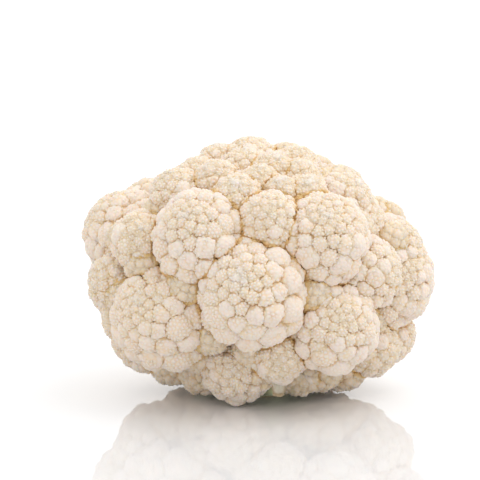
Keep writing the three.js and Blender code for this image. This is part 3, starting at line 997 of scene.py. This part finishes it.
def curd_material():
    """Dull cream flesh that lets a little light in, with painted warm shade in its creases and deeper painted
    shade in the gaps.
    """
    material, tree, shader = new_material("curd_flesh")
    place = node(tree, "TexCoord").outputs["Object"]
    bud, lobe, gap = (attribute(tree, name) for name in ("bud", "crease", "gap"))
    broad, fine = noise_at(tree, place, 28.0, 3.0), noise_at(tree, place, 420.0, 4.0)
    colour = mixed(tree, ranged(tree, broad, 0.35, 0.7, 0.0, 0.55), CREAM, CREAM_WARM)
    # painted shade: a warm darker colour where buds and lobes meet, darker still in the gaps between florets,
    # standing in for the shade and warm bounced light there
    colour = mixed(tree, ranged(tree, bud, 0.3, 1.0, 0.0, 0.15), colour, PAINTED_CREASE_SHADE)
    colour = mixed(tree, ranged(tree, lobe, 0.2, 1.0, 0.0, 0.5), colour, PAINTED_CREASE_SHADE)
    colour = mixed(tree, ranged(tree, gap, 0.25, 1.0, 0.0, 0.78), colour, PAINTED_GAP_SHADE)
    speck = ranged(tree, fine, 0.3, 0.8, 0.98, 1.02)
    specks = node(tree, "CombineColor", {0: speck, 1: speck, 2: speck}).outputs[0]
    colour = mixed(tree, 1.0, colour, specks, "MULTIPLY")
    tree.links.new(colour, shader.inputs["Base Color"])
    tree.links.new(ranged(tree, fine, 0.3, 0.7, 0.6, 0.75), shader.inputs["Roughness"])
    grain = node(tree, "TexVoronoi", {"Vector": place, "Scale": 1500.0}).outputs["Distance"]
    bump = node(tree, "Bump", {"Height": grain, "Strength": 0.05, "Distance": 0.0002})
    tree.links.new(bump.outputs[0], shader.inputs["Normal"])
    set_plain(shader, {
        "Subsurface Weight": 0.25, "Subsurface Radius": (1.0, 0.6, 0.3), "Subsurface Scale": 0.003,
        "Specular IOR Level": 0.25, "Sheen Weight": 0.1, "Sheen Roughness": 0.5,
    })
    return material


STEM_PALE = (0.80, 0.81, 0.62, 1)
STEM_GREEN = (0.60, 0.67, 0.40, 1)
CUT_PALE = (0.78, 0.75, 0.62, 1)
CUT_DRY = (0.56, 0.43, 0.28, 1)


def stem_material():
    """Firm pale green flesh with long fibres; cut faces are paler, with a ring of bundles and dry edges."""
    material, tree, shader = new_material("stem_flesh")
    place = node(tree, "TexCoord").outputs["Object"]
    cut, edge, bundle = (attribute(tree, name) for name in ("cut", "edge", "bundle"))
    broad, fine = noise_at(tree, place, 60.0, 4.0), noise_at(tree, place, 900.0, 3.0)
    stretched = node(tree, "Mapping", {"Vector": place, "Scale": (1, 1, 0.1)}).outputs[0]
    fibre = noise_at(tree, stretched, 1100.0, 2.0)
    skin = mixed(tree, ranged(tree, broad, 0.35, 0.7), STEM_PALE, STEM_GREEN)
    skin = mixed(tree, ranged(tree, fibre, 0.45, 0.75, 0.0, 0.35), skin, STEM_GREEN)
    face = mixed(tree, ranged(tree, fine, 0.4, 0.75, 0.0, 0.3), CUT_PALE, CUT_DRY)
    face = mixed(tree, ranged(tree, bundle, 0.2, 1.0, 0.0, 0.45), face, STEM_GREEN)
    colour = mixed(tree, cut, skin, face)
    patches = ranged(tree, broad, 0.3, 0.6, 0.35, 0.95)
    dried = node(tree, "Math", {0: edge, 1: patches}, operation="MULTIPLY").outputs[0]
    colour = mixed(tree, dried, colour, CUT_DRY)
    tree.links.new(colour, shader.inputs["Base Color"])
    tree.links.new(ranged(tree, fine, 0.3, 0.7, 0.42, 0.62), shader.inputs["Roughness"])
    bump = node(tree, "Bump", {"Height": fibre, "Strength": 0.25, "Distance": 0.0003})
    tree.links.new(bump.outputs[0], shader.inputs["Normal"])
    set_plain(shader, {
        "Subsurface Weight": 0.15, "Subsurface Radius": (1.0, 0.8, 0.4), "Subsurface Scale": 0.002,
    })
    return material


# ---------------------------------------------------------------- floor and light

FLOOR_RADIUS = 8.0
FLOOR_SIDES = 96


def make_floor():
    """A wide white sheet with a polish, which runs out of sight into the white behind it."""
    mesh = bpy.data.meshes.new("floor")
    turns = [2 * math.pi * k / FLOOR_SIDES for k in range(FLOOR_SIDES)]
    rim = [(FLOOR_RADIUS * math.cos(t), FLOOR_RADIUS * math.sin(t), 0) for t in turns]
    mesh.from_pydata(rim, [], [list(range(FLOOR_SIDES))])
    material, _, shader = new_material("floor_pale")
    set_plain(shader, {"Base Color": (0.84, 0.84, 0.845, 1), "Roughness": 0.03, "Specular IOR Level": 0.5})
    mesh.materials.append(material)
    new_object("floor", mesh)


WORLD_LIGHT = 0.71
WORLD_RAMPS = [  # axis of the direction, where the added light starts and is full along it, and how much
    (0, -0.1, -0.8, 0.28),
    (0, 0.2, 0.9, 0.3),
    (1, 0.4, 0.9, 0.5),
    (2, 0.2, 0.9, 0.3),
    (2, 0.4, 0.02, 0.3),
]
KEY_AT = (0.6, -0.1, 1.0)
KEY_AIM = (0, 0, 0.06)
KEY_SIZE = 0.9
KEY_POWER = 3.3


def make_lights():
    """A white room, brighter at the sides, behind, above and at the horizon, and one soft light."""
    world = bpy.data.worlds.new("studio")
    world.use_nodes = True
    tree = world.node_tree
    background = tree.nodes["Background"]
    towards = node(tree, "TexCoord").outputs["Generated"]
    parts = node(tree, "SeparateXYZ", {0: towards}).outputs
    total = WORLD_LIGHT
    for axis, start, full, gain in WORLD_RAMPS:
        added = ranged(tree, parts[axis], start, full, 0.0, gain)
        total = node(tree, "Math", {0: total, 1: added}, operation="ADD").outputs[0]
    tree.links.new(total, background.inputs["Strength"])
    background.inputs["Color"].default_value = (1, 1, 1, 1)
    bpy.context.scene.world = world
    data = bpy.data.lights.new("key", "AREA")
    data.shape = "RECTANGLE"
    data.size = data.size_y = KEY_SIZE
    data.energy = KEY_POWER
    key = new_object("key", data)
    key.location = KEY_AT
    key.rotation_euler = (Vector(KEY_AIM) - Vector(KEY_AT)).to_track_quat("-Z", "Y").to_euler()


# ---------------------------------------------------------------- making it all

make_floor()
make_lights()
bpy.context.scene.view_settings.view_transform = "Standard"

flesh = curd_material()
stem = stem_material()


def place_piece(piece, node_name, material):
    piece.data.materials.append(material)
    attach(piece, "root")
    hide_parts(node_name)


for piece in make_florets():
    place_piece(piece, "curd", flesh)
place_piece(make_core(), "curd", flesh)
place_piece(make_stalk(), "stalk", stem)
for number, stub in enumerate(STUBS, 1):
    place_piece(make_stub(number, *stub), f"leaf_stub_{number}", stem)
place_piece(make_skin(), "leaf_stub_1", stem)
